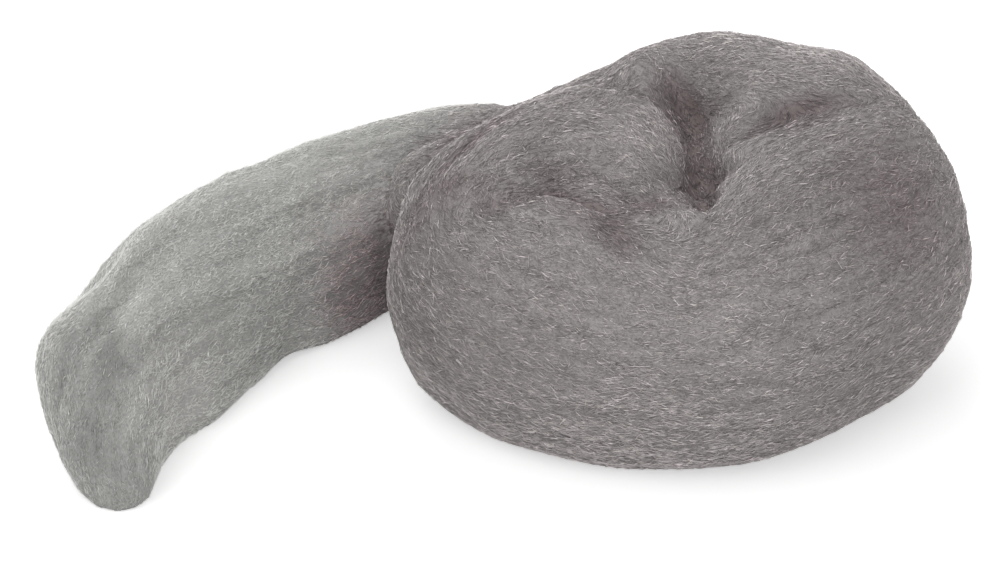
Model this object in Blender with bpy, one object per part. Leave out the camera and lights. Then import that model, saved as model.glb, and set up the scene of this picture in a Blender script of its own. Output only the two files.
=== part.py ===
"""A pad of fine steel wool: one long flat ribbon of fibres, wound into a squat roll that sits on
its end, with the free end of the ribbon trailing away from the back as a soft tail."""

import math

import bmesh
import bpy
from mathutils import Matrix, Vector, geometry

# Driving dimensions, in metres.
ROLL_LENGTH = 0.117
ROLL_DEPTH = 0.100
ROLL_HEIGHT = 0.058
RIBBON_THICKNESS = 0.028
TAIL_REACH = 0.090
TAIL_WIDTH = 0.044
TAIL_THICKNESS = 0.021
CREASE_WIDTH = 0.0070
CREASE_DEPTH = 0.011
FLAT_CUT = 0.004

# The section's corners: 1 makes it an ellipse, and less makes it squarer.
SECTION_ROUNDNESS = 0.93

# How finely the ribbon, its skin and its creases are made.
SECTION_POINTS = 28
ROWS_PER_STRETCH = 7
SKIN_SIZE = 0.0032
SKIN_SMOOTHING = 5
CREASE_SMOOTHING = 2
CREASE_STEPS = 6

# The ribbon round the roll, from where the tail leaves it at the back left. It is wound clockwise
# as seen from above. Each row is an angle in degrees, how far the ribbon lies inside the roll's
# outline and how thick it is, both as shares of its thickness, and its top edge as a share of the
# roll's height.
WINDING = (
    (124, 0.00, 0.95, 0.82),
    (106, 0.04, 1.05, 0.89),
    (88, 0.00, 1.25, 1.02),
    (62, 0.03, 1.45, 1.02),
    (30, 0.08, 1.65, 1.03),
    (-10, 0.08, 1.80, 1.00),
    (-45, 0.14, 1.80, 0.97),
    (-82, 0.03, 1.75, 0.93),
    (-112, 0.02, 1.50, 0.90),
    (-145, -0.03, 1.50, 0.88),
    (-178, -0.03, 1.60, 0.88),
    (-212, 0.10, 1.65, 0.90),
    (-240, 0.36, 1.55, 0.91),
    (-264, 0.60, 1.50, 0.92),
    (-290, 0.75, 1.60, 0.98),
    (-340, 0.70, 1.80, 1.01),
    (-400, 0.80, 1.60, 0.97),
    (-450, 0.85, 1.30, 0.92),
    (-500, 0.75, 1.30, 0.92),
    (-540, 0.65, 1.40, 0.91),
    (-585, 0.85, 1.40, 0.91),
)

# The tail, from its tip to where it joins the roll. Each row is its foot across and along the
# bench from the join, as shares of the tail's reach, the thickness and the width as shares of the
# tail's own, how far the ribbon leans outwards and how far its furrows are twisted over its top
# edge, both in degrees.
TAIL = (
    (-0.89, -0.925, 0.22, 0.24, 8, 50),
    (-0.90, -0.895, 0.62, 0.46, 8, 48),
    (-0.91, -0.83, 0.94, 0.66, 12, 44),
    (-0.895, -0.735, 1.18, 0.80, 18, 36),
    (-0.83, -0.575, 1.22, 0.91, 24, 24),
    (-0.69, -0.40, 1.25, 0.98, 28, 10),
    (-0.51, -0.195, 1.20, 0.98, 26, 0),
    (-0.33, 0.01, 1.15, 0.95, 18, 0),
    (-0.17, 0.08, 1.15, 0.94, 8, 0),
)

# The soft furrows that run along the tail's inner side. Each has its place round the section, in
# degrees up from the side that faces the roll, and its depth and half width as shares of the
# tail's thickness and in degrees.
FURROWS = (
    (78, 0.27, 13),
    (26, 0.32, 14),
)

# Where the turns pinch each other on top. Each line of points is given as shares of the roll's
# half length and half depth, with the depth of the crease there as a share of the deepest. Only
# the upper part of the roll is creased, from one share of its height up to the full depth at another.
CREASED_FROM = 0.45
CREASED_FULLY = 0.75
PINCH = (0.07, -0.14, 1.0)
CREASES = (
    ((-0.08, 0.82, 0.1), (-0.02, 0.58, 0.5), (0.04, 0.22, 0.8), PINCH),
    (PINCH, (0.19, -0.02, 0.6), (0.38, 0.08, 0.4), (0.60, 0.12, 0.2)),
    (PINCH, (-0.08, -0.26, 0.5), (-0.22, -0.34, 0.6), (-0.40, -0.18, 0.6), (-0.62, -0.12, 0.3)),
    ((-0.22, -0.34, 0.6), (-0.13, -0.50, 0.3)),
    ((-0.80, 0.06, 0.1), (-0.70, 0.30, 0.25), (-0.54, 0.54, 0.1)),
)


def smooth_between(rows, steps):
    """Rows of values on a smooth curve through the given rows."""
    ends = [rows[0], *rows, rows[-1]]
    smooth = []
    for before, start, end, after in zip(ends, ends[1:], ends[2:], ends[3:]):
        for step in range(steps):
            t = step / steps
            smooth.append(tuple(
                b + (c - a) * t / 2 + (2 * a - 5 * b + 4 * c - d) * t**2 / 2 + (3 * b - a - 3 * c + d) * t**3 / 2
                for a, b, c, d in zip(before, start, end, after)
            ))
    smooth.append(rows[-1])
    return smooth


def roll_rows():
    """Foot, thickness, width, lean, furrowing and twist of the ribbon at places round the roll."""
    rows = []
    for angle, inset, thick, top in WINDING:
        turn = math.radians(angle)
        thickness = thick * RIBBON_THICKNESS
        inwards = inset * RIBBON_THICKNESS + thickness / 2
        x = (ROLL_LENGTH / 2 - inwards) * math.cos(turn)
        y = (ROLL_DEPTH / 2 - inwards) * math.sin(turn)
        rows.append((x, y, thickness, top * ROLL_HEIGHT + FLAT_CUT, 0.0, 0.0, 0.0))
    return rows


def tail_rows(join):
    """The same values along the tail, which reaches out from the first place of the roll."""
    rows = []
    for across, along, thick, wide, lean, twist in TAIL:
        x = join[0] + across * TAIL_REACH
        y = join[1] + along * TAIL_REACH
        rows.append((x, y, thick * TAIL_THICKNESS, wide * TAIL_WIDTH, math.radians(lean), 1.0, twist))
    return rows


def furrow_depth(turn, furrowed, twist):
    """How far the side is sunk at an angle round the section."""
    sunk = 0.0
    for place, depth, half_width in FURROWS:
        away = (math.degrees(turn) - twist - place + 180) % 360 - 180
        sunk += depth * math.exp(-((away / half_width) ** 2))
    return sunk * furrowed * TAIL_THICKNESS


def section(row, ahead):
    """One rounded cross-section of the ribbon, standing across the way it runs."""
    x, y, thickness, width, lean, furrowed, twist = row
    outwards = Vector((-ahead.y, ahead.x, 0))
    up = outwards * math.sin(lean) + Vector((0, 0, math.cos(lean)))
    across = ahead.cross(up)
    middle = Vector((x, y, -FLAT_CUT)) + up * width / 2
    points = []
    for index in range(SECTION_POINTS):
        turn = 2 * math.pi * index / SECTION_POINTS
        c, s = math.cos(turn), math.sin(turn)
        sideways = math.copysign(abs(c) ** SECTION_ROUNDNESS, c) * thickness / 2
        upwards = math.copysign(abs(s) ** SECTION_ROUNDNESS, s) * width / 2
        offset = across * sideways + up * upwards
        points.append(middle + offset - offset.normalized() * furrow_depth(turn, furrowed, twist))
    return points


def wound_ribbon():
    """The whole ribbon as one closed tube of cross-sections, its turns pressed into each other."""
    roll = roll_rows()
    rows = smooth_between(tail_rows(roll[0]) + roll, ROWS_PER_STRETCH)
    bm = bmesh.new()
    rings = []
    for index, row in enumerate(rows):
        back, front = rows[max(index - 1, 0)], rows[min(index + 1, len(rows) - 1)]
        ahead = Vector((front[0] - back[0], front[1] - back[1], 0)).normalized()
        rings.append([bm.verts.new(point) for point in section(row, ahead)])
    for ring, following in zip(rings, rings[1:]):
        for index in range(SECTION_POINTS):
            other = (index + 1) % SECTION_POINTS
            bm.faces.new((ring[index], ring[other], following[other], following[index]))
    bm.faces.new(reversed(rings[0]))
    bm.faces.new(rings[-1])
    bmesh.ops.recalc_face_normals(bm, faces=bm.faces)
    mesh = bpy.data.meshes.new("wool_roll")
    bm.to_mesh(mesh)
    bm.free()
    return mesh


def centre_on_base(mesh):
    """Puts the origin at the middle of the bounding box, on the plane that the wool rests on."""
    xs = [vertex.co.x for vertex in mesh.vertices]
    ys = [vertex.co.y for vertex in mesh.vertices]
    mesh.transform(Matrix.Translation((-(min(xs) + max(xs)) / 2, -(min(ys) + max(ys)) / 2, 0)))


def apply_modifiers(thing):
    graph = bpy.context.evaluated_depsgraph_get()
    mesh = bpy.data.meshes.new_from_object(thing.evaluated_get(graph))
    thing.modifiers.clear()
    thing.data = mesh


def crease_lines():
    """The creases in metres: each is a list of places on a smooth line, with the depth at each."""
    lines = []
    for line in CREASES:
        rows = smooth_between(list(line), CREASE_STEPS)
        lines.append([
            (Vector((x * ROLL_LENGTH / 2, y * ROLL_DEPTH / 2, 0)), deep * CREASE_DEPTH)
            for x, y, deep in rows
        ])
    return lines


def sink_at(place, lines):
    """How deep the nearest crease is at a place on the plan, less the further off it runs."""
    deepest = 0.0
    for line in lines:
        for (start, first), (end, last) in zip(line, line[1:]):
            _, share = geometry.intersect_point_line(place, start, end)
            share = min(max(share, 0.0), 1.0)
            gap = (place - start.lerp(end, share)).length
            depth = first + (last - first) * share
            deepest = max(deepest, depth * math.exp(-((gap / CREASE_WIDTH) ** 2)))
    return deepest


def press_creases(mesh):
    """Sinks the top of the roll along each crease, most in the middle of its width."""
    lines = crease_lines()
    for vertex in mesh.vertices:
        height = vertex.co.z / ROLL_HEIGHT
        share = min((height - CREASED_FROM) / (CREASED_FULLY - CREASED_FROM), 1.0)
        if share > 0:
            place = Vector((vertex.co.x, vertex.co.y, 0))
            vertex.co.z -= share * sink_at(place, lines)


def steel_wool():
    material = bpy.data.materials.new("steel_wool")
    material.use_nodes = True
    shader = material.node_tree.nodes["Principled BSDF"]
    shader.inputs["Base Color"].default_value = (0.24, 0.22, 0.22, 1)
    shader.inputs["Metallic"].default_value = 0.6
    shader.inputs["Roughness"].default_value = 0.6
    return material


for thing in list(bpy.data.objects):
    bpy.data.objects.remove(thing)

roll = bpy.data.objects.new("wool_roll", wound_ribbon())
bpy.context.collection.objects.link(roll)
roll.data.materials.append(steel_wool())

# The turns cling to each other, so one skin runs over them all.
skin = roll.modifiers.new("skin", "REMESH")
skin.mode = "VOXEL"
skin.voxel_size = SKIN_SIZE
soft = roll.modifiers.new("soft", "SMOOTH")
soft.iterations = SKIN_SMOOTHING
apply_modifiers(roll)
press_creases(roll.data)
settle = roll.modifiers.new("settle", "SMOOTH")
settle.iterations = CREASE_SMOOTHING

# The wool's own weight presses a flat spot where it rests.
bench = bpy.data.meshes.new("bench")
bm = bmesh.new()
bmesh.ops.create_cube(bm, size=1)
bmesh.ops.translate(bm, verts=bm.verts, vec=(0, 0, -0.5))
bm.to_mesh(bench)
bm.free()
cutter = bpy.data.objects.new("bench_cutter", bench)
bpy.context.collection.objects.link(cutter)
cutter.hide_render = True
cutter.display_type = "WIRE"
flat = roll.modifiers.new("flat", "BOOLEAN")
flat.object = cutter
flat.solver = "EXACT"
apply_modifiers(roll)
centre_on_base(roll.data)
roll.data.shade_smooth()
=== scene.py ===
"""A pad of fine steel wool: a flat ribbon of steel fibres wound into a squat roll, with the loose
end of the ribbon trailing away from the back left as a soft tail."""

import math

import bpy
import numpy as np
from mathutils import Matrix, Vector, noise
from mathutils.bvhtree import BVHTree


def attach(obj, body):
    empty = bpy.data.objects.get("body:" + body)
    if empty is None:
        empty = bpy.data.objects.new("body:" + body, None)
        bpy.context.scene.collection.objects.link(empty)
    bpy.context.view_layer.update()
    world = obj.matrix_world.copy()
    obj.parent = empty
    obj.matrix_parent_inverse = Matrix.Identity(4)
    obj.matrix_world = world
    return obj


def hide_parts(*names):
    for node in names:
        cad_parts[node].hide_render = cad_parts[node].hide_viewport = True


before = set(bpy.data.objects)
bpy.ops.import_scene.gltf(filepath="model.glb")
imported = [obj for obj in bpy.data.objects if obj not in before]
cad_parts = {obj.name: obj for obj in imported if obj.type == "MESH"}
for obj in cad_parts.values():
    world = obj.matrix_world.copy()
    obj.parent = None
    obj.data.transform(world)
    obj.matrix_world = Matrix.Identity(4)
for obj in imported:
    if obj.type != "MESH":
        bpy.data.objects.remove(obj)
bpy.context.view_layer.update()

# The camera
# It looks down on the pad at thirty degrees from the front, the way the photograph does, through a
# long lens so that the roll keeps its proportions.
LOOK_AT = Vector((-0.0025, -0.0001, 0.0192))
LOOK_DOWN = math.radians(30)
LOOK_FROM = 0.556
LENS = 100
SENSOR_WIDTH = 36

lens = bpy.data.cameras.new("camera")
lens.lens = LENS
lens.sensor_width = SENSOR_WIDTH
camera = bpy.data.objects.new("camera", lens)
bpy.context.collection.objects.link(camera)
away = Vector((0, -math.cos(LOOK_DOWN), math.sin(LOOK_DOWN)))
camera.location = LOOK_AT + away * LOOK_FROM
camera.rotation_euler = (math.pi / 2 - LOOK_DOWN, 0, 0)
bpy.context.scene.camera = camera

# The wad
# The mass of the ribbon: many thousand steel fibres a few hundredths of a millimetre thick, clinging
# to each other so that the turns read as one soft body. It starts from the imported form, which is
# merged, given an even skin and worked over like clay.
MERGE_REACH = 0.00001
WAD_SKIN = 0.0009
WAD_SMOOTHING = 6
LUMP_SIZE = 0.016
LUMP_HEIGHT = 0.0009

# The tail swells at its root, so that it leaves the roll's shoulder without a gap.
ROOT_AT = (-0.012, 0.026, 0.023)
ROOT_TURN = math.radians(41)
ROOT_SIZE = (0.015, 0.010, 0.015)

# Behind the roll's shoulder the wool is filled up to a slope that runs down to the tail. The slope has
# its middle and reach in millimetres, its rise to the right and to the back for each millimetre, and
# the line across the pad where it starts, with the millimetres that it takes to be there in full.
SLOPE_MIDDLE = (-16, 20, 37.4)
SLOPE_REACH = 16
SLOPE_RISE = (0.6, -0.31)
SLOPE_STARTS = 4
SLOPE_GROWS = 6

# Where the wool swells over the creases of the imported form, the skin is eased towards its own broad
# average, and where that would lower it, only in part. Each place has its middle and reach in
# millimetres and how much it is eased.
EASED = (
    ((0, -14, 48), 10, 0.9),
    ((14, -16, 47), 10, 0.95),
    ((24, -14, 47), 6, 0.7),
    ((45, -5, 50), 5, 0.9),
    ((51, -3, 53), 6, 1.0),
    ((58, 1, 54), 6, 0.8),
    ((-13, 26, 34), 14, 1.0),
)
EASING_ROUNDS = 400
LOWERED_SHARE = 0.4

# Places where the wool stands a little further out, or with a height below nothing further in. Each
# has its middle and reach in millimetres and its height in metres. They run from the tail's tip to the
# right.
SWELLS = (
    ((-88, -30, 22), 10, 0.0022),
    ((-80, -13, 30), 10, -0.0021),
    ((-72, -52, 4), 7, 0.0010),
    ((-71, -2, 31), 13, 0.0010),
    ((-60, 14, 32), 9, 0.0012),
    ((-59, -22, 4), 9, 0.0026),
    ((-43, -1, 4), 8, -0.0026),
    ((-22, -2, 38), 10, -0.0028),
    ((-22, 31, 30), 6, 0.0022),
    ((-18, -20, 11), 9, 0.0012),
    ((-16, 6, 44), 9, -0.0025),
    ((-12, 45, 33), 9, 0.0024),
    ((28, 37, 52), 8, 0.0018),
    ((36, -22, 51), 5, -0.0026),
    ((46, -5, 50), 6, 0.0016),
    ((66, 21, 57), 10, 0.0014),
    ((72, -29, 10), 10, -0.0011),
    ((86, -17, 27), 13, 0.0014),
)

cad_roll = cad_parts["wool_roll"]
wad = bpy.data.objects.new("wool_wad", cad_roll.data.copy())
bpy.context.collection.objects.link(wad)
bpy.ops.object.select_all(action="DESELECT")
wad.select_set(True)
bpy.context.view_layer.objects.active = wad
bpy.ops.object.mode_set(mode="EDIT")
bpy.ops.mesh.select_all(action="SELECT")
bpy.ops.mesh.remove_doubles(threshold=MERGE_REACH)
bpy.ops.object.mode_set(mode="OBJECT")
bpy.ops.mesh.primitive_uv_sphere_add(
    segments=48, ring_count=24, radius=1, location=ROOT_AT, rotation=(0, 0, ROOT_TURN), scale=ROOT_SIZE
)
wad.select_set(True)
bpy.context.view_layer.objects.active = wad
bpy.ops.object.join()
bpy.ops.object.modifier_add(type="REMESH")
wad.modifiers[-1].mode = "VOXEL"
wad.modifiers[-1].voxel_size = WAD_SKIN
bpy.ops.object.modifier_apply(modifier=wad.modifiers[-1].name)
bpy.ops.object.modifier_add(type="SMOOTH")
wad.modifiers[-1].iterations = WAD_SMOOTHING
bpy.ops.object.modifier_apply(modifier=wad.modifiers[-1].name)
lumps = bpy.data.textures.new("lumps", "CLOUDS")
lumps.noise_scale = LUMP_SIZE
lumps.noise_depth = 1
bpy.ops.object.modifier_add(type="DISPLACE")
wad.modifiers[-1].texture = lumps
wad.modifiers[-1].strength = LUMP_HEIGHT
bpy.ops.object.modifier_apply(modifier=wad.modifiers[-1].name)

verts = np.empty(len(wad.data.vertices) * 3)
wad.data.vertices.foreach_get("co", verts)
verts = verts.reshape(-1, 3)
normals = np.empty(len(wad.data.vertices) * 3)
wad.data.vertex_normals.foreach_get("vector", normals)
normals = normals.reshape(-1, 3)
edges = np.empty(len(wad.data.edges) * 2, int)
wad.data.edges.foreach_get("vertices", edges)
edges = edges.reshape(-1, 2)


def unit(rows):
    """The rows as directions of length one."""
    return rows / np.maximum(np.linalg.norm(rows, axis=1, keepdims=True), 1e-12)


def shared(values, rounds):
    """Values at the vertices, each averaged with its neighbours' so many times."""
    total = np.bincount(edges.ravel(), minlength=len(verts))
    for _ in range(rounds):
        taken = np.zeros_like(values)
        for own, other in (edges.T, edges.T[::-1]):
            for axis in range(values.shape[1]):
                taken[:, axis] += np.bincount(own, values[other, axis], len(verts))
        values = taken / total[:, None]
    return values


def near_spot(middle, reach):
    """How near each vertex is to a place given in millimetres, from 1 on it to 0 far from it."""
    gap = np.linalg.norm(verts * 1000 - np.array(middle), axis=1)
    return np.exp(-((gap / reach) ** 2))


def reshape_wad():
    """Puts the wad's vertices where verts says, and takes the new normals from it."""
    wad.data.vertices.foreach_set("co", verts.ravel())
    wad.data.update()
    wad.data.vertex_normals.foreach_get("vector", normals.reshape(-1))


gap = verts * 1000 - np.array(SLOPE_MIDDLE)
missing = gap[:, 0] * SLOPE_RISE[0] + gap[:, 1] * SLOPE_RISE[1] - gap[:, 2]
behind = np.clip((verts[:, 1] * 1000 - SLOPE_STARTS) / SLOPE_GROWS, 0, 1)
verts[:, 2] += np.maximum(missing, 0) / 1000 * behind * near_spot(SLOPE_MIDDLE, SLOPE_REACH)
reshape_wad()

ease = np.zeros(len(verts))
for middle, reach, share in EASED:
    ease = np.maximum(ease, share * near_spot(middle, reach))
change = shared(verts, EASING_ROUNDS) - verts
ease[(change * normals).sum(1) < 0] *= LOWERED_SHARE
eased = verts + change * ease[:, None]
for middle, reach, height in SWELLS:
    eased += normals * (height * near_spot(middle, reach))[:, None]
verts = eased
verts[:, 2] = np.maximum(verts[:, 2], 0)
reshape_wad()

# The lay of the wad's wool: every fibre runs along the ribbon, so they follow the tail, go round the
# roll in hoops and turn in over the top with it. Each line below is a lock that is easy to see, in
# millimetres from the middle of the base, always in the direction of winding.
TAIL_LOCKS = (
    (
        (-88, -30, 21), (-80, -30, 29), (-76, -14, 32), (-68, 6, 31),
        (-57, 20, 32), (-42, 32, 33), (-23, 41, 33), (-9, 44, 34),
    ),
    (
        (-83, -44, 19), (-81, -36, 26), (-75, -24, 28), (-66, -6, 30),
        (-54, 9, 30), (-37, 24, 31), (-17, 36, 31),
    ),
    (
        (-81, -50, 12), (-80, -46, 20), (-76, -35, 25), (-69, -17, 27),
        (-56, 2, 27), (-39, 20, 27), (-21, 33, 27),
    ),
    (
        (-72, -52, 3), (-73, -51, 10), (-73, -48, 16), (-71, -39, 23),
        (-65, -21, 23), (-52, -5, 22), (-39, 12, 22), (-25, 25, 21),
    ),
    (
        (-68, -48, 6), (-68, -45, 13), (-63, -30, 11), (-56, -16, 10),
        (-45, -3, 10), (-34, 9, 9), (-27, 18, 9),
    ),
)
BACK_LOCKS = (
    (
        (-15, 44, 33), (-2, 44, 36), (10, 28, 48), (20, 33, 50), (29, 38, 51),
        (38, 31, 56), (52, 25, 59), (65, 17, 58), (76, 12, 54),
    ),
    ((38, 24, 52), (49, 17, 57), (61, 12, 58), (72, 11, 56)),
    ((29, 34, 52), (32, 24, 48), (35, 11, 46), (36, -22, 52)),
)
RIGHT_LOCKS = (
    ((78, 13, 53), (67, 0, 57), (56, -3, 55), (48, -6, 52), (40, -22, 54), (37, -30, 52)),
    ((80, -2, 54), (73, -9, 55), (63, -16, 56), (54, -21, 55), (44, -29, 53), (37, -37, 50)),
    ((82, -8, 51), (78, -13, 51), (67, -22, 53), (56, -28, 52), (44, -36, 50), (34, -40, 48)),
)
FRONT_LOCKS = (
    (
        (87, -8, 40), (83, -18, 41), (72, -29, 41), (59, -38, 40), (45, -44, 41),
        (30, -45, 41), (16, -42, 42), (3, -35, 44), (-10, -25, 44),
    ),
    (
        (88, -10, 28), (83, -22, 28), (74, -31, 27), (63, -39, 24), (46, -47, 25),
        (29, -49, 26), (11, -45, 27), (-3, -38, 29), (-14, -28, 33), (-21, -17, 32),
    ),
    (
        (80, -18, 8), (67, -31, 7), (47, -43, 8), (28, -44, 6),
        (9, -40, 6), (-6, -32, 7), (-17, -23, 13), (-22, -16, 17),
    ),
)
LOBE_LOCKS = (
    ((5, -43, 23), (-6, -37, 25), (-15, -28, 28)),
    ((-11, 1, 48), (-2, 8, 50)),
    (
        (23, -44, 41), (9, -39, 44), (-2, -31, 45), (-11, -22, 45), (-12, -15, 47),
        (-10, -5, 48), (-3, 2, 50), (6, 9, 52), (16, 20, 52),
    ),
    ((17, 11, 52), (22, 28, 50), (24, 34, 51)),
    ((1, 8, 51), (12, 11, 52), (22, 8, 52), (27, -2, 51), (31, -7, 48), (34, -28, 52)),
    ((26, -41, 47), (18, -35, 49), (12, -29, 51), (4, -22, 50)),
    (
        (-6, -14, 49), (-1, -3, 48), (6, 0, 49), (15, -2, 51),
        (24, -6, 51), (30, -10, 47), (33, -30, 52),
    ),
    ((0, -14, 49), (9, -5, 47), (19, -11, 47), (26, -13, 47), (33, -31, 52)),
)
SHOULDER_LOCKS = (
    ((-31, 27, 29), (-27, 30, 29), (-23, 32, 29), (-19, 22, 35)),
    ((-30, 25, 26), (-26, 28, 27), (-22, 18, 33)),
    ((-28, 34, 31), (-21, 36, 32), (-15, 35, 33), (-12, 29, 37)),
    ((-28, 38, 33), (-19, 40, 33), (-11, 40, 35)),
    (
        (-17, -9, 42), (-17, 3, 38), (-16, 7, 39), (-14, 10, 41),
        (-12, 12, 42), (-9, 13, 44), (-6, 11, 47),
    ),
    (
        (-15, -25, 37), (-17, -20, 38), (-19, -16, 38), (-20, -5, 36),
        (-21, 5, 33), (-20, 11, 35), (-19, 13, 36),
    ),
    ((-21, -18, 29), (-22, -14, 31), (-22, -8, 32), (-22, 2, 31), (-22, 9, 31), (-22, 16, 31)),
    (
        (-11, -24, 43), (-14, -19, 43), (-15, -15, 44), (-15, -10, 44),
        (-14, -7, 45), (-13, -2, 46), (-10, 4, 45),
    ),
)
STRAY_LOCKS = (
    ((-46, -1, 8), (-40, 4, 7)),
    ((-37, 7, 13), (-32, 12, 13)),
    ((-37, 12, 20), (-32, 17, 20)),
    ((-64, -33, 14), (-60, -25, 12)),
    ((-65, -38, 9), (-61, -28, 4)),
    ((-65, -26, 20), (-62, -19, 20)),
    ((-54, -15, 11), (-50, -9, 11)),
    ((-26, 36, 32), (-21, 38, 32)),
    ((-14, -15, 45), (-14, -7, 47)),
    ((-9, -26, 44), (-13, -20, 44)),
    ((3, 0, 49), (8, 4, 51)),
    ((47, 1, 52), (42, 0, 50)),
    ((77, -4, 54), (71, -11, 55)),
    ((85, -6, 46), (79, -17, 47)),
    ((83, -16, 43), (78, -23, 43)),
)
SEEN_LOCKS = (
    *TAIL_LOCKS, *BACK_LOCKS, *RIGHT_LOCKS, *FRONT_LOCKS, *LOBE_LOCKS, *SHOULDER_LOCKS, *STRAY_LOCKS
)

# Low on the roll, and on its back, the fibres run in level hoops from the tail's root clockwise.
ROLL_MIDDLE = (33.8, -0.1)
ROLL_REACH = (57.5, 49.0)
HOOP_HEIGHTS = (4, 18, 32)
HOOP_START = 100
HOOP_STEP = 15
HOOP_STEPS = 23

# A fibre heads the way of the locks near it. The pull of a lock falls with a power of the distance,
# and is largest where the two touch.
LOCK_STEP = 3.0
LOCK_PULL = 4.0
LOCK_TOUCH = 0.001
ROWS_AT_ONCE = 4000

hoop_turns = np.radians(HOOP_START - HOOP_STEP * np.arange(HOOP_STEPS))
hoop_x = ROLL_MIDDLE[0] + ROLL_REACH[0] * np.cos(hoop_turns)
hoop_y = ROLL_MIDDLE[1] + ROLL_REACH[1] * np.sin(hoop_turns)
hoops = [np.stack([hoop_x, hoop_y, np.full(HOOP_STEPS, height)], 1) for height in HOOP_HEIGHTS]
places, headings = [], []
for line in (*SEEN_LOCKS, *hoops):
    line = np.array(line, float)
    for start, end in zip(line, line[1:]):
        run = np.linalg.norm(end - start)
        for share in np.arange(0, 1, LOCK_STEP / run):
            places.append(start + (end - start) * share)
            headings.append((end - start) / run)
places = np.array(places) / 1000
headings = np.array(headings)

lay = np.zeros_like(verts)
for first in range(0, len(verts), ROWS_AT_ONCE):
    part = slice(first, first + ROWS_AT_ONCE)
    gap = np.linalg.norm(verts[part, None] - places[None], axis=2)
    pull = 1 / (gap + LOCK_TOUCH) ** LOCK_PULL
    lay[part] = pull @ headings
lay = unit(lay - normals * (lay * normals).sum(1, keepdims=True))

# Soft bands run along the lay where more or less of the wool has gathered.
COMB_TEETH = 9
BAND_WIDTH = 0.0022
BAND_LENGTH = 0.016


def combed(spots, directions, cell, reach):
    """Random values that run in streaks: noise of one cell size, averaged along the lay."""
    total = np.zeros(len(spots))
    offsets = np.linspace(-reach, reach, COMB_TEETH)
    for offset in offsets:
        total += [noise.noise(place) for place in ((spots + directions * offset) / cell).tolist()]
    return total / total.std()


bands = combed(verts, lay, BAND_WIDTH, BAND_LENGTH / 2)

# The depth of the folds: how far the skin lies under its own broad average, in millimetres.
FOLD_ROUNDS = 60
sunk = ((shared(verts, FOLD_ROUNDS) - verts) * normals).sum(1) * 1000

# The seams where one turn slips under the next, from the back round the folded-over lobe, and the
# tail's soft furrows and ridges. The places along each are in millimetres.
BACK_CREASE = (
    (29, 35, 52), (32, 28, 51), (35, 22, 48), (36, 10, 46), (36, -3, 46), (36, -27, 51),
)
RIGHT_CREASE = (
    (39, -3, 47), (44, 0, 52), (50, 3, 54), (56, 6, 56), (63, 8, 57), (71, 8, 57),
)
PINCH = (
    (36, -10, 46), (36, -18, 48), (36, -25, 50), (36, -31, 51),
)
LOBE_CREASE = (
    (-6, -21, 49), (-1, -20, 50), (4, -17, 49), (10, -16, 49),
    (15, -20, 49), (17, -27, 50), (19, -34, 50), (21, -40, 47),
)
TAIL_FURROW = (
    (-15, 39, 32), (-34, 30, 32), (-53, 10, 31), (-69, -9, 30), (-77, -26, 28), (-84, -41, 21),
)
TAIL_RIDGE = (
    (-23, 32, 26), (-43, 17, 29), (-59, 1, 28), (-70, -13, 28),
    (-74, -29, 26), (-80, -42, 23), (-83, -47, 16),
)
TAIL_LOW_FURROW = (
    (-30, 12, 22), (-43, 2, 17), (-61, -18, 21), (-73, -39, 24),
    (-78, -46, 20), (-78, -50, 14), (-74, -52, 6),
)
TAIL_TOP_RIDGE = (
    (-7, 45, 34), (-24, 43, 33), (-40, 34, 33), (-56, 21, 32),
    (-70, 1, 32), (-78, -18, 30), (-85, -32, 24),
)

# Each seam has its line, its half width in millimetres and how strong it is. A strength below nothing
# makes a ridge.
SEAMS = (
    (BACK_CREASE, 3.0, 0.8),
    (RIGHT_CREASE, 3.0, 0.5),
    (PINCH, 2.6, 1.2),
    (LOBE_CREASE, 3.0, 0.65),
    (TAIL_FURROW, 3.5, 0.7),
    (TAIL_RIDGE, 3.0, -0.65),
    (TAIL_LOW_FURROW, 3.5, 0.55),
    (TAIL_TOP_RIDGE, 3.0, -0.5),
)
SEAM_DEPTH = 0.0016
SEAM_LIMIT = 1.6
SEAM_SAMPLES = 12
SEAM_END = 0.08
BAND_HEIGHT = 0.00010
BAND_LIMIT = 2
RESTS_BELOW = 0.004


def near_line(line, half_width):
    """How near each vertex is to a line of places, from 1 on it to 0, less towards its two ends."""
    line = np.array(line, float)
    walk = np.linspace(0, len(line) - 1, SEAM_SAMPLES * len(line))
    samples = np.stack([np.interp(walk, range(len(line)), line[:, axis]) for axis in range(3)], 1)
    fade = np.sin(np.pi * np.linspace(SEAM_END, 1 - SEAM_END, len(walk))) ** 0.5
    gap = np.linalg.norm(verts[:, None] * 1000 - samples[None], axis=2)
    return (fade * np.exp(-((gap / half_width) ** 2))).max(1)


seam = sum(strength * near_line(line, half_width) for line, half_width, strength in SEAMS)
seam = np.minimum(seam, SEAM_LIMIT)
resting = np.clip(verts[:, 2] / RESTS_BELOW, 0, 1)
rise = (BAND_HEIGHT * np.clip(bands, -BAND_LIMIT, BAND_LIMIT) - SEAM_DEPTH * seam) * resting
verts = verts + normals * rise[:, None]
verts[:, 2] = np.maximum(verts[:, 2], 0)
reshape_wad()

# Which part of the wool is which: outside the roll's oval lies the tail, thinner and looser, so more
# light comes through it; there the wool is painted paler as that light. At two places near its root
# the change is slower.
TAIL_STARTS = 1.05
TAIL_GROWS = 0.22
ROOT_SPOTS = (
    ((-27, 10, 12), 13, 0.9),
    ((-10, 48, 8), 25, 0.75),
)
beyond = np.hypot(
    (verts[:, 0] * 1000 - ROLL_MIDDLE[0]) / ROLL_REACH[0],
    (verts[:, 1] * 1000 - ROLL_MIDDLE[1]) / ROLL_REACH[1],
)
tail_share = np.clip((beyond - TAIL_STARTS) / TAIL_GROWS, 0, 1)
for middle, reach, less in ROOT_SPOTS:
    tail_share *= 1 - less * near_spot(middle, reach)
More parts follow.
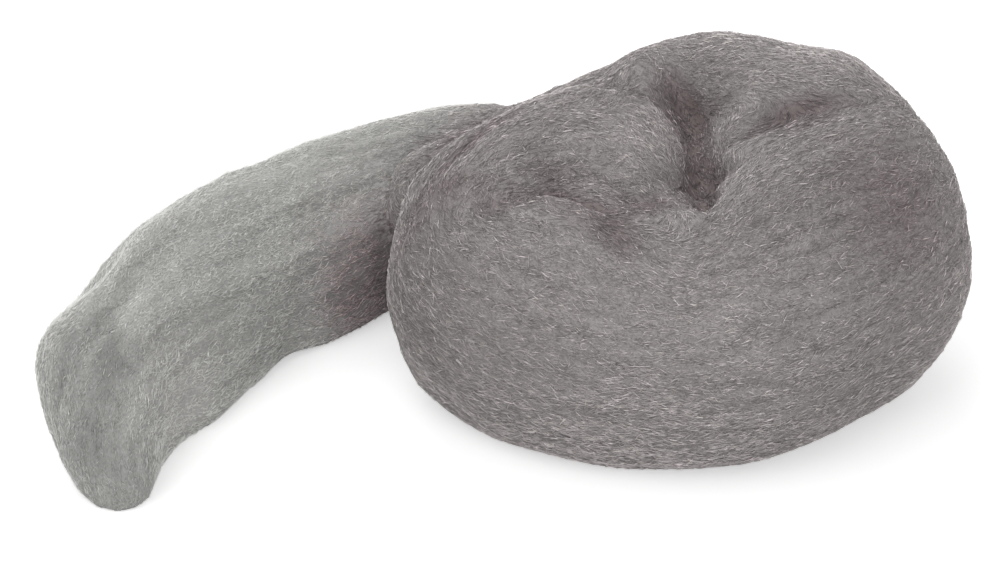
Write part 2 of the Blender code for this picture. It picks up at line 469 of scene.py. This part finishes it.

# Painted shade: how dark the wool is painted for lying deep, nothing on the open wool, one in a full
# fold or seam, and below nothing, painted paler, where it stands out.
FULL_FOLD = 1.5
FOLD_RANGE = (-0.6, 1.2)
painted_shade = np.clip(sunk / FULL_FOLD, *FOLD_RANGE) + np.minimum(seam, 1)

# Patches of painted shade and painted light: places where the wool is painted darker or paler than
# the folds alone make it. Each has its middle and reach in millimetres and how much darker it is, or
# with a value below nothing how much paler.
TAIL_SHADE_AND_LIGHT = (
    ((-80, -35, 27), 10, 1.5),
    ((-79, -47, 17), 12, 1.6),
    ((-72, -38, 23), 7, 0.5),
    ((-72, -51, 7), 9, 1.3),
    ((-68, 0, 31), 18, -0.3),
    ((-63, -31, 12), 11, -1.9),
    ((-50, 8, 29), 13, -1.0),
    ((-46, 24, 31), 9, 0.4),
    ((-32, 23, 25), 9, -2.0),
    ((-29, 14, 12), 9, -1.8),
    ((-28, 32, 30), 6, 0.9),
    ((-27, 21, 21), 5, 1.4),
)
SHOULDER_SHADE_AND_LIGHT = (
    ((-25, 21, 28), 5, 1.3),
    ((-22, -8, 36), 13, 0.85),
    ((-17, 0, 44), 9, 0.45),
    ((-17, 45, 34), 9, -0.8),
    ((-16, 17, 38), 8, 0.7),
    ((-16, 38, 32), 9, 0.3),
    ((-12, -10, 46), 5, 0.5),
    ((-12, 4, 44), 5, 0.8),
    ((-10, 30, 38), 8, 0.9),
    ((-9, -10, 48), 11, 0.85),
    ((-7, 9, 47), 6, 0.9),
    ((-3, -3, 48), 6, -1.2),
    ((-1, 14, 48), 6, 0.9),
)
LOBE_SHADE_AND_LIGHT = (
    ((-4, -22, 49), 5, 0.5),
    ((0, 10, 50), 10, 0.2),
    ((5, -21, 50), 6, 0.55),
    ((9, -14, 49), 5, 0.5),
    ((14, -27, 50), 8, 1.1),
    ((19, -33, 50), 6, 0.5),
    ((20, -2, 52), 4, 0.2),
    ((21, -38, 48), 5, 0.4),
    ((28, -20, 48), 5, 0.45),
    ((29, -24, 50), 6, 0.4),
    ((34, -22, 50), 5, 0.1),
)
ROLL_SHADE_AND_LIGHT = (
    ((16, -46, 2), 26, -1.1),
    ((58, 6, 56), 8, 0.5),
    ((60, 20, 57), 14, -0.3),
    ((73, -22, 50), 17, 0.85),
)
PAINTED_SHADE_AND_LIGHT = (*TAIL_SHADE_AND_LIGHT, *SHOULDER_SHADE_AND_LIGHT, *LOBE_SHADE_AND_LIGHT, *ROLL_SHADE_AND_LIGHT)
for middle, reach, darker in PAINTED_SHADE_AND_LIGHT:
    painted_shade = painted_shade + darker * near_spot(middle, reach)

# Places where the wool has a redder tinge, each with its middle and reach in millimetres and how much
# redder it is.
BLUSHES = (
    ((-28, 14, 12), 12, 0.9),
    ((73, -22, 50), 17, 0.25),
    ((34, 5, 46), 9, 0.12),
    ((-18, 16, 36), 10, -0.2),
)
blush = sum(redder * near_spot(middle, reach) for middle, reach, redder in BLUSHES)

# Painted light: places where the wool is painted paler, as light coming through thin wool, with how
# much paler it is inside.
PAINTED_LIGHT_SPOTS = (
    ((-63, -31, 12), 12, 0.5),
    ((-32, 23, 25), 9, 0.35),
    ((-29, 14, 12), 9, 0.35),
)
painted_light = sum(paler * near_spot(middle, reach) for middle, reach, paler in PAINTED_LIGHT_SPOTS)

# Under the fibres the painted shade in the tail's folds is lighter than in the roll's, by this share.
TAIL_FOLDS_LIGHTER = 0.5
painted_shade_under = painted_shade * (1 - TAIL_FOLDS_LIGHTER * tail_share)
for name, values in (("band", bands), ("painted_fold_shade", painted_shade_under), ("tail", tail_share), ("painted_light", painted_light)):
    attribute = wad.data.attributes.new(name, "FLOAT", "POINT")
    attribute.data.foreach_set("value", values.astype(np.float32))

# The wad's finish: dull grey steel, darker than the fibres: the wool underneath, painted as the shade
# between the fibres. It has painted shade in the folds, darker and a little warmer; it is paler,
# partly as painted light, and cooler on the tail, and palest where light is painted in as coming
# through. It runs from dark to light with a fine grain and the bands.
ROLL_SHADES = ((0.13, 0.121, 0.121, 1), (0.33, 0.309, 0.307, 1))
TAIL_SHADES = ((0.21, 0.21, 0.202, 1), (0.47, 0.47, 0.453, 1))
SHADES_FROM = 0.25
SHADES_TO = 0.75
ROLL_FOLD_SHADE = (0.15, 0.118, 0.118, 1)
TAIL_FOLD_SHADE = (0.16, 0.16, 0.154, 1)
FOLD_SHADE_FROM = 0.1
FOLD_SHADE_TO = 1.3
LIT_WOOL = (0.50, 0.48, 0.475, 1)
GRAIN_SCALE = 2600
GRAIN_DETAIL = 3
BAND_SHARE = 0.03

under_wool = bpy.data.materials.new("under_wool")
under_wool.use_nodes = True
nodes = under_wool.node_tree.nodes
link = under_wool.node_tree.links.new
steel = nodes["Principled BSDF"]
steel.inputs["Metallic"].default_value = 0.5
steel.inputs["Roughness"].default_value = 0.65
where = nodes.new("ShaderNodeTexCoord")
grain = nodes.new("ShaderNodeTexNoise")
grain.inputs["Scale"].default_value = GRAIN_SCALE
grain.inputs["Detail"].default_value = GRAIN_DETAIL
link(where.outputs["Object"], grain.inputs["Vector"])
band = nodes.new("ShaderNodeAttribute")
band.attribute_name = "band"
level = nodes.new("ShaderNodeMath")
level.operation = "MULTIPLY_ADD"
level.inputs[1].default_value = BAND_SHARE
link(band.outputs["Fac"], level.inputs[0])
link(grain.outputs["Fac"], level.inputs[2])
shades = []
for dark, light in (ROLL_SHADES, TAIL_SHADES):
    shade = nodes.new("ShaderNodeValToRGB")
    shade.color_ramp.elements[0].position = SHADES_FROM
    shade.color_ramp.elements[0].color = dark
    shade.color_ramp.elements[1].position = SHADES_TO
    shade.color_ramp.elements[1].color = light
    link(level.outputs["Value"], shade.inputs["Fac"])
    shades.append(shade)
loose = nodes.new("ShaderNodeAttribute")
loose.attribute_name = "tail"
pallor = nodes.new("ShaderNodeMix")
pallor.data_type = "RGBA"
link(loose.outputs["Fac"], pallor.inputs["Factor"])
link(shades[0].outputs["Color"], pallor.inputs["A"])
link(shades[1].outputs["Color"], pallor.inputs["B"])
painted_fold_shade = nodes.new("ShaderNodeAttribute")
painted_fold_shade.attribute_name = "painted_fold_shade"
deep = nodes.new("ShaderNodeMapRange")
deep.inputs["From Min"].default_value = FOLD_SHADE_FROM
deep.inputs["From Max"].default_value = FOLD_SHADE_TO
link(painted_fold_shade.outputs["Fac"], deep.inputs["Value"])
fold_shade_colour = nodes.new("ShaderNodeMix")
fold_shade_colour.data_type = "RGBA"
fold_shade_colour.inputs["A"].default_value = ROLL_FOLD_SHADE
fold_shade_colour.inputs["B"].default_value = TAIL_FOLD_SHADE
link(loose.outputs["Fac"], fold_shade_colour.inputs["Factor"])
fold_shaded = nodes.new("ShaderNodeMix")
fold_shaded.data_type = "RGBA"
link(deep.outputs["Result"], fold_shaded.inputs["Factor"])
link(pallor.outputs["Result"], fold_shaded.inputs["A"])
link(fold_shade_colour.outputs["Result"], fold_shaded.inputs["B"])
through = nodes.new("ShaderNodeAttribute")
through.attribute_name = "painted_light"
lit = nodes.new("ShaderNodeMix")
lit.data_type = "RGBA"
lit.inputs["B"].default_value = LIT_WOOL
link(through.outputs["Fac"], lit.inputs["Factor"])
link(fold_shaded.outputs["Result"], lit.inputs["A"])
link(lit.outputs["Result"], steel.inputs["Base Color"])
wad.data.materials.clear()
wad.data.materials.append(under_wool)
wad.data.polygons.foreach_set("material_index", np.zeros(len(wad.data.polygons), int))
wad.data.shade_smooth()
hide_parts("wool_roll")
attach(wad, "root")

# The fibres
# The shaved steel strands on the outside of the wool. They are kinked, of uneven thickness and lie
# in thin locks along the ribbon, with some across. Each is a closed three-sided sliver, its
# ends tucked into the wad, because strands this thin can't be made by hand one at a time.
LOCK_COUNT = 18000
FIBRES_PER_LOCK = 8
FIBRE_POINTS = 4
FIBRE_LENGTH = 0.0025
FIBRE_RADIUS = 0.000050
FIBRE_LIFT = 0.00024
FIBRE_TUCK = 0.00006
FIBRE_FLOOR = 0.0001
LOCK_LENGTH = 0.010
LOCK_SPREAD = 0.00030

# The flat underside, which is hardly seen, has only this share of the locks that its area asks for.
UNDERSIDE_HEIGHT = 0.0006
UNDERSIDE_SHARE = 0.2

wad.data.calc_loop_triangles()
triangles = np.empty(len(wad.data.loop_triangles) * 3, int)
wad.data.loop_triangles.foreach_get("vertices", triangles)
triangles = triangles.reshape(-1, 3)
surface = BVHTree.FromPolygons(verts.tolist(), triangles.tolist())


def on_surface(points):
    """The nearest places on the wad, and the triangle that holds each."""
    spots = np.empty_like(points)
    faces = np.empty(len(points), int)
    for index, point in enumerate(points.tolist()):
        spot, _, face, _ = surface.find_nearest(point)
        spots[index] = spot
        faces[index] = face
    return spots, faces


corner = verts[triangles]
areas = np.linalg.norm(np.cross(corner[:, 1] - corner[:, 0], corner[:, 2] - corner[:, 0]), axis=1)
areas = areas * np.where(corner[:, :, 2].max(1) < UNDERSIDE_HEIGHT, UNDERSIDE_SHARE, 1)
face_normal = unit(normals[triangles].mean(1))
face_lay = lay[triangles].mean(1)
face_lay = unit(face_lay - face_normal * (face_lay * face_normal).sum(1, keepdims=True))

# How far each lock strays from the lay, in degrees, and how much paler or darker it is than the rest.
LOCK_STRAY = 8
LOCK_TINT = 0.022
SEED = 7

chance = np.random.default_rng(SEED)
lock_face = chance.choice(len(triangles), LOCK_COUNT, p=areas / areas.sum())
blend = chance.dirichlet((1, 1, 1), LOCK_COUNT)
lock_spot = (corner[lock_face] * blend[:, :, None]).sum(1)
lock_turn = chance.normal(0, LOCK_STRAY, LOCK_COUNT)
lock_tint = chance.normal(0, LOCK_TINT, LOCK_COUNT)

owner = np.repeat(np.arange(LOCK_COUNT), FIBRES_PER_LOCK)
count = len(owner)
sideways = np.cross(face_normal[lock_face], face_lay[lock_face])
start = (
    lock_spot[owner]
    + sideways[owner] * chance.normal(0, LOCK_SPREAD, count)[:, None]
    + face_lay[lock_face][owner] * chance.uniform(-LOCK_LENGTH / 2, LOCK_LENGTH / 2, count)[:, None]
)
start, face = on_surface(start)

# On the folded-over lobe the fibres are jumbled; elsewhere they stray less from the lay. The angles
# are in degrees: of a whole fibre, of a fibre that lies across, and from one point to the next.
LOBE_MIDDLE = (0.012, -0.003, 0.050)
LOBE_REACH = 0.020
LOBE_JUMBLE = 1.3
FIBRE_STRAY = 12
ACROSS_STRAY = 38
ACROSS_SHARE = 0.08
KINK = 11
LENGTH_SPREAD = 0.3
SHORTER_ON_TAIL = 0.3

near_lobe = np.exp(-((np.linalg.norm(start - np.array(LOBE_MIDDLE), axis=1) / LOBE_REACH) ** 2))
turn = lock_turn[owner] * (1 + near_lobe)
turn += chance.normal(0, FIBRE_STRAY, count) * (1 + LOBE_JUMBLE * near_lobe)
across = chance.random(count) < ACROSS_SHARE
turn[across] += chance.normal(0, ACROSS_STRAY, across.sum())
on_tail = tail_share[triangles[face, 0]]
length = FIBRE_LENGTH * np.exp(chance.normal(0, LENGTH_SPREAD, count)) * (1 - SHORTER_ON_TAIL * on_tail)
step = length / (FIBRE_POINTS - 1)
lift = FIBRE_LIFT * chance.random(count) ** 1.5

# Some fibres end in the air, most of all on the outer edge of the tail.
OUTWARD = (-0.45, 0.55, 0.70)
EDGE_FROM = 0.3
FREE_SHARE = 0.006
FREE_AT_EDGE = 0.9
FREE_LIFT = (0.0002, 0.0006)
FREE_LIFT_ON_ROLL = 0.6

outward = face_normal[face] @ np.array(OUTWARD)
soft_edge = np.clip(outward - EDGE_FROM, 0, 1) * on_tail
free = chance.random(count) < FREE_SHARE + FREE_AT_EDGE * soft_edge
lift[free] = chance.uniform(*FREE_LIFT, free.sum()) * (FREE_LIFT_ON_ROLL + on_tail[free])

# A few strands are coarser and lie on top of the rest, where they catch the light; more of them also
# get painted glints.
COARSE_SHARE = 0.11
FEWER_ON_TAIL = 0.6
COARSE_LIFT = (0.00015, 0.00035)

coarse = (chance.random(count) < COARSE_SHARE * (1 - FEWER_ON_TAIL * on_tail)) & ~free
lift[coarse] = chance.uniform(*COARSE_LIFT, coarse.sum())

path = np.empty((count, FIBRE_POINTS, 3))
ups = np.empty((count, FIBRE_POINTS, 3))
faces = np.empty((count, FIBRE_POINTS), int)
spot = start
for index in range(FIBRE_POINTS):
    share = index / (FIBRE_POINTS - 1)
    up = face_normal[face]
    arch = np.where(free, share, math.sin(math.pi * share))
    path[:, index] = spot + up * (lift * arch - FIBRE_TUCK * (1 - arch))[:, None]
    ups[:, index] = up
    faces[:, index] = face
    turn = turn + chance.normal(0, KINK, count)
    angle = np.radians(turn)[:, None]
    ahead = face_lay[face] * np.cos(angle) + np.cross(up, face_lay[face]) * np.sin(angle)
    if index < FIBRE_POINTS - 1:
        spot, face = on_surface(spot + ahead * step[:, None])
path[:, :, 2] = np.maximum(path[:, :, 2], FIBRE_FLOOR)

# How thick they are: uneven, thinner on the tail and where they end in the air.
RADIUS_SPREAD = 0.25
THINNER_ON_TAIL = 0.15
FREE_RADIUS = 0.5
COARSE_RADIUS = 1.3

radius = FIBRE_RADIUS * np.exp(chance.normal(0, RADIUS_SPREAD, count)) * (1 - THINNER_ON_TAIL * on_tail)
radius[free] *= FREE_RADIUS
radius[coarse] *= COARSE_RADIUS

# Each fibre's tint: how pale it is, and how warm. Locks differ a little, and so do fibres and points
# along them, less so on the tail. The folds get painted shade, darker and warmer; the tail is cooler
# and painted paler, as light coming through it, most of all along its outer edge as painted rim light;
# and here and there a short stretch of a fibre gets a painted glint.
PALENESS = 0.505
PALER_ON_TAIL = 0.32
PAINTED_RIM_LIGHT = 0.30
DARKER_IN_FOLD = 0.16
FOLD_LEAST = -1.2
FIBRE_TINT = 0.07
POINT_TINT = 0.08
STREAK_TINT = 0.045
STREAK_WIDTH = 0.00035
STREAK_REACH = 0.002
BAND_TINT = 0.008
BAND_TINT_ON_TAIL = 0.010
CALMER_ON_TAIL = {"lock": 0.4, "fibre": 0.5, "point": 0.65, "streak": 0.75}
WARMTH = 0.5
WARMTH_SPREAD = 0.05
WARMER_IN_FOLD = 0.25
COOLER_ON_TAIL = 0.42
PAINTED_GLINT_SHARE = 0.03
COARSE_PAINTED_GLINT_SHARE = 0.30
PAINTED_GLINT_TINT = (0.15, 0.50)
TINT_RANGE = (0.03, 0.97)

vertex = triangles[faces[:, FIBRE_POINTS // 2], 0]
streaks = combed(path[:, 1], unit(path[:, 2] - path[:, 1]), STREAK_WIDTH, STREAK_REACH)
calm = {name: 1 - share * on_tail for name, share in CALMER_ON_TAIL.items()}
pale = PALENESS + lock_tint[owner] * calm["lock"]
pale += chance.normal(0, FIBRE_TINT, count) * calm["fibre"]
pale += STREAK_TINT * streaks * calm["streak"]
pale += (BAND_TINT + BAND_TINT_ON_TAIL * on_tail) * bands[vertex]
# Painted light: the tail painted paler, as light that comes through it.
pale += PALER_ON_TAIL * tail_share[vertex]
# Painted shade in the folds and seams, and painted light where the wool stands out.
pale -= DARKER_IN_FOLD * np.maximum(painted_shade[vertex], FOLD_LEAST)
# Painted rim light along the tail's outer, upper edge.
pale += PAINTED_RIM_LIGHT * soft_edge
# The painted shade in the folds is also warmer, and the tail is cooler.
redness = WARMER_IN_FOLD * np.clip(painted_shade, 0, 1) * (1 - tail_share) - COOLER_ON_TAIL * tail_share + blush
warmth = WARMTH + chance.normal(0, WARMTH_SPREAD, count) + redness[vertex]
pale = pale[:, None] + chance.normal(0, POINT_TINT, (count, FIBRE_POINTS)) * calm["point"][:, None]
# Painted glints: a few points along some fibres, more on the coarse ones, painted much paler.
painted_glint_share = np.where(coarse, COARSE_PAINTED_GLINT_SHARE, PAINTED_GLINT_SHARE)
painted_glints = chance.random((count, FIBRE_POINTS)) < painted_glint_share[:, None]
pale[painted_glints] += chance.uniform(*PAINTED_GLINT_TINT, painted_glints.sum())
pale = np.clip(pale, *TINT_RANGE)
warmth = np.clip(warmth, *TINT_RANGE)

# The fibres are handed over in several pieces, so that no one piece is too heavy: under the pad, four
# along the tail from its tip, three across the top from the left, and five round the roll.
TAIL_PIECES = ("tail_tip", "tail_middle", "tail_bend", "tail_root")
TAIL_BORDERS = (-0.022, 0.004, 0.026)
TAIL_SHARE = 0.3
TOP_PIECES = ("top_left", "top_middle", "top_right")
TOP_BORDERS = (0.016, 0.046)
TOP_FACING = 0.62
SIDE_PIECES = ("right_side", "back_side", "back_left_side", "left_side", "front_side")
SIDE_ANGLE = 360 // len(SIDE_PIECES)
BASE_HEIGHT = 0.0008
REGIONS = ("base", *TAIL_PIECES, *TOP_PIECES, *SIDE_PIECES)

mid_x, mid_y, mid_z = path[:, 1].T
round_roll = np.degrees(np.arctan2(mid_y * 1000 - ROLL_MIDDLE[1], mid_x * 1000 - ROLL_MIDDLE[0]))
side = (round_roll + SIDE_ANGLE / 2) % 360 // SIDE_ANGLE
region = REGIONS.index("right_side") + side.astype(int)
facing_up = ups[:, 1, 2] > TOP_FACING
region[facing_up] = REGIONS.index("top_left") + np.digitize(mid_x[facing_up], TOP_BORDERS)
in_tail = tail_share[vertex] > TAIL_SHARE
region[in_tail] = REGIONS.index("tail_tip") + np.digitize(mid_y[in_tail], TAIL_BORDERS)
region[mid_z < BASE_HEIGHT] = REGIONS.index("base")

# The fibres' finish: bare steel, from dark to bright by how pale the fibre is, and from greenish to
# reddish grey by how warm it is. Both come from the piece's own map.
DARK_STEEL = (0.05, 0.05, 0.05, 1)
MIDDLE_STEEL = (0.34, 0.34, 0.34, 1)
MIDDLE_AT = 0.45
BRIGHT_STEEL = (0.95, 0.95, 0.95, 1)
GREENISH = (0.985, 1.0, 0.965, 1)
WARM = (1.0, 0.93, 0.925, 1)
REDDISH = (1.0, 0.82, 0.84, 1)

fibre_steel = bpy.data.materials.new("fibre_steel")
fibre_steel.use_nodes = True
nodes = fibre_steel.node_tree.nodes
link = fibre_steel.node_tree.links.new
steel = nodes["Principled BSDF"]
steel.inputs["Metallic"].default_value = 0.6
steel.inputs["Roughness"].default_value = 0.45
tint_map = nodes.new("ShaderNodeUVMap")
tint_map.uv_map = "tint"
split = nodes.new("ShaderNodeSeparateXYZ")
link(tint_map.outputs["UV"], split.inputs["Vector"])
greys = nodes.new("ShaderNodeValToRGB")
greys.color_ramp.elements[0].color = DARK_STEEL
greys.color_ramp.elements[1].color = BRIGHT_STEEL
middle_grey = greys.color_ramp.elements.new(MIDDLE_AT)
middle_grey.color = MIDDLE_STEEL
link(split.outputs["X"], greys.inputs["Fac"])
casts = nodes.new("ShaderNodeValToRGB")
casts.color_ramp.elements[0].color = GREENISH
casts.color_ramp.elements[1].color = REDDISH
middle_cast = casts.color_ramp.elements.new(WARMTH)
middle_cast.color = WARM
link(split.outputs["Y"], casts.inputs["Fac"])
cast = nodes.new("ShaderNodeMix")
cast.data_type = "RGBA"
cast.blend_type = "MULTIPLY"
cast.inputs["Factor"].default_value = 1
link(greys.outputs["Color"], cast.inputs["A"])
link(casts.outputs["Color"], cast.inputs["B"])
link(cast.outputs["Result"], steel.inputs["Base Color"])

# A fibre's mesh: a point at each end, and a ring of three corners at each point between. The corners
# lie a little apart in the map, so that no face is without area there.
RING = 3
RING_SIZES = (0.0, 1.0, 0.85, 0.0)
PALE_APART = 0.01
WARMTH_APART = 0.02
inner = FIBRE_POINTS - 2
per_fibre = inner * RING + 2
spine_point = np.array([0, *np.repeat(np.arange(1, FIBRE_POINTS - 1), RING), FIBRE_POINTS - 1])


def fibre_piece(name, chosen):
    """One mesh of closed slivers along the chosen fibres' paths."""
    spine = path[chosen]
    number = len(spine)
    heading = np.empty_like(spine)
    heading[:, 1:-1] = spine[:, 2:] - spine[:, :-2]
    heading[:, 0] = spine[:, 1] - spine[:, 0]
    heading[:, -1] = spine[:, -1] - spine[:, -2]
    heading /= np.linalg.norm(heading, axis=2, keepdims=True)
    out = ups[chosen]
    wide = np.cross(heading, out)
    wide /= np.linalg.norm(wide, axis=2, keepdims=True)
    out = np.cross(wide, heading)
    points = np.empty((number, per_fibre, 3))
    points[:, 0] = spine[:, 0]
    points[:, -1] = spine[:, -1]
    for ring in range(inner):
        for corner_index in range(RING):
            angle = 2 * math.pi * corner_index / RING + math.pi / 2
            size = radius[chosen][:, None] * RING_SIZES[ring + 1]
            points[:, 1 + ring * RING + corner_index] = (
                spine[:, ring + 1]
                + wide[:, ring + 1] * math.cos(angle) * size
                + out[:, ring + 1] * math.sin(angle) * size
            )
    pattern = []
    for corner_index in range(RING):
        other = (corner_index + 1) % RING
        pattern.append((0, 1 + other, 1 + corner_index))
        for ring in range(inner - 1):
            low, high = 1 + ring * RING, 1 + (ring + 1) * RING
            pattern.append((low + corner_index, low + other, high + other))
            pattern.append((low + corner_index, high + other, high + corner_index))
        last = 1 + (inner - 1) * RING
        pattern.append((per_fibre - 1, last + corner_index, last + other))
    indices = (np.arange(number)[:, None, None] * per_fibre + np.array(pattern)[None]).reshape(-1)
    mesh = bpy.data.meshes.new(name)
    mesh.vertices.add(number * per_fibre)
    mesh.vertices.foreach_set("co", points.ravel())
    mesh.loops.add(len(indices))
    mesh.loops.foreach_set("vertex_index", indices)
    mesh.polygons.add(len(indices) // 3)
    mesh.polygons.foreach_set("loop_start", np.arange(0, len(indices), 3))
    mesh.update(calc_edges=True)
    apart = np.linspace(-PALE_APART, PALE_APART, per_fibre)
    around = WARMTH_APART * np.cos(2 * math.pi * np.arange(per_fibre) / RING)
    vertex_tint = np.empty((number, per_fibre, 2))
    vertex_tint[:, :, 0] = pale[chosen][:, spine_point] + apart[None]
    vertex_tint[:, :, 1] = warmth[chosen][:, None] + around[None]
    loop_tint = vertex_tint.reshape(-1, 2)[indices]
    for map_name in ("tint", "OFBake"):
        mesh.uv_layers.new(name=map_name).uv.foreach_set("vector", loop_tint.ravel())
    mesh.shade_smooth()
    mesh.materials.append(fibre_steel)
    piece = bpy.data.objects.new(name, mesh)
    bpy.context.collection.objects.link(piece)
    return piece


for index, name in enumerate(REGIONS):
    fleece = fibre_piece(f"fibres_{name}", region == index)
    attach(fleece, "root")

# The bench and the light
# A plain white bench under a large soft lamp from the upper left, a low one from the front, a weak
# one from behind and a pale sky. Only the camera sees the bench as pure white, and only the camera
# and reflections see the sky so; the wool itself is lit less than that.
BENCH_WIDTH = 6
BENCH_PAINT = (0.80, 0.80, 0.80, 1)
BENCH_GLOW = 0.45
SKY = 0.66
WHITE = (1, 1, 1, 1)

# Each lamp has its name, place, width in metres and power in watts.
LAMPS = (
    ("window_lamp", (-0.5, -0.5, 1.1), 0.9, 4.5),
    ("front_lamp", (0.35, -1.3, 0.12), 1.0, 10),
    ("back_lamp", (-0.3, 1.0, 0.9), 0.8, 4),
)

bpy.ops.object.select_all(action="DESELECT")
bpy.ops.mesh.primitive_plane_add(size=BENCH_WIDTH)
bench = bpy.context.active_object
bench.name = "bench"
bench_white = bpy.data.materials.new("bench_white")
bench_white.use_nodes = True
nodes = bench_white.node_tree.nodes
link = bench_white.node_tree.links.new
paint = nodes["Principled BSDF"]
paint.inputs["Base Color"].default_value = BENCH_PAINT
paint.inputs["Roughness"].default_value = 0.9
glow = nodes.new("ShaderNodeEmission")
glow.inputs["Strength"].default_value = BENCH_GLOW
ray = nodes.new("ShaderNodeLightPath")
seen = nodes.new("ShaderNodeMixShader")
both = nodes.new("ShaderNodeAddShader")
link(paint.outputs["BSDF"], both.inputs[0])
link(glow.outputs["Emission"], both.inputs[1])
link(ray.outputs["Is Camera Ray"], seen.inputs["Fac"])
link(paint.outputs["BSDF"], seen.inputs[1])
link(both.outputs["Shader"], seen.inputs[2])
link(seen.outputs["Shader"], nodes["Material Output"].inputs["Surface"])
bench.data.materials.append(bench_white)

world = bpy.data.worlds.new("studio")
bpy.context.scene.world = world
world.use_nodes = True
nodes = world.node_tree.nodes
link = world.node_tree.links.new
sky = nodes["Background"]
sky.inputs["Color"].default_value = WHITE
sky.inputs["Strength"].default_value = SKY
white = nodes.new("ShaderNodeBackground")
white.inputs["Color"].default_value = WHITE
white.inputs["Strength"].default_value = 1
ray = nodes.new("ShaderNodeLightPath")
either = nodes.new("ShaderNodeMath")
either.operation = "MAXIMUM"
link(ray.outputs["Is Camera Ray"], either.inputs[0])
link(ray.outputs["Is Glossy Ray"], either.inputs[1])
any_ray = nodes.new("ShaderNodeMath")
any_ray.operation = "MAXIMUM"
link(either.outputs["Value"], any_ray.inputs[0])
link(ray.outputs["Is Transmission Ray"], any_ray.inputs[1])
pick = nodes.new("ShaderNodeMixShader")
link(any_ray.outputs["Value"], pick.inputs["Fac"])
link(sky.outputs["Background"], pick.inputs[1])
link(white.outputs["Background"], pick.inputs[2])
link(pick.outputs["Shader"], nodes["World Output"].inputs["Surface"])

for name, place, width, power in LAMPS:
    light = bpy.data.lights.new(name, "AREA")
    light.size = width
    light.energy = power
    lamp = bpy.data.objects.new(name, light)
    bpy.context.collection.objects.link(lamp)
    lamp.location = place
    lamp.rotation_euler = (Vector(place) - LOOK_AT).to_track_quat("Z", "Y").to_euler()

bpy.context.scene.view_settings.view_transform = "Standard"
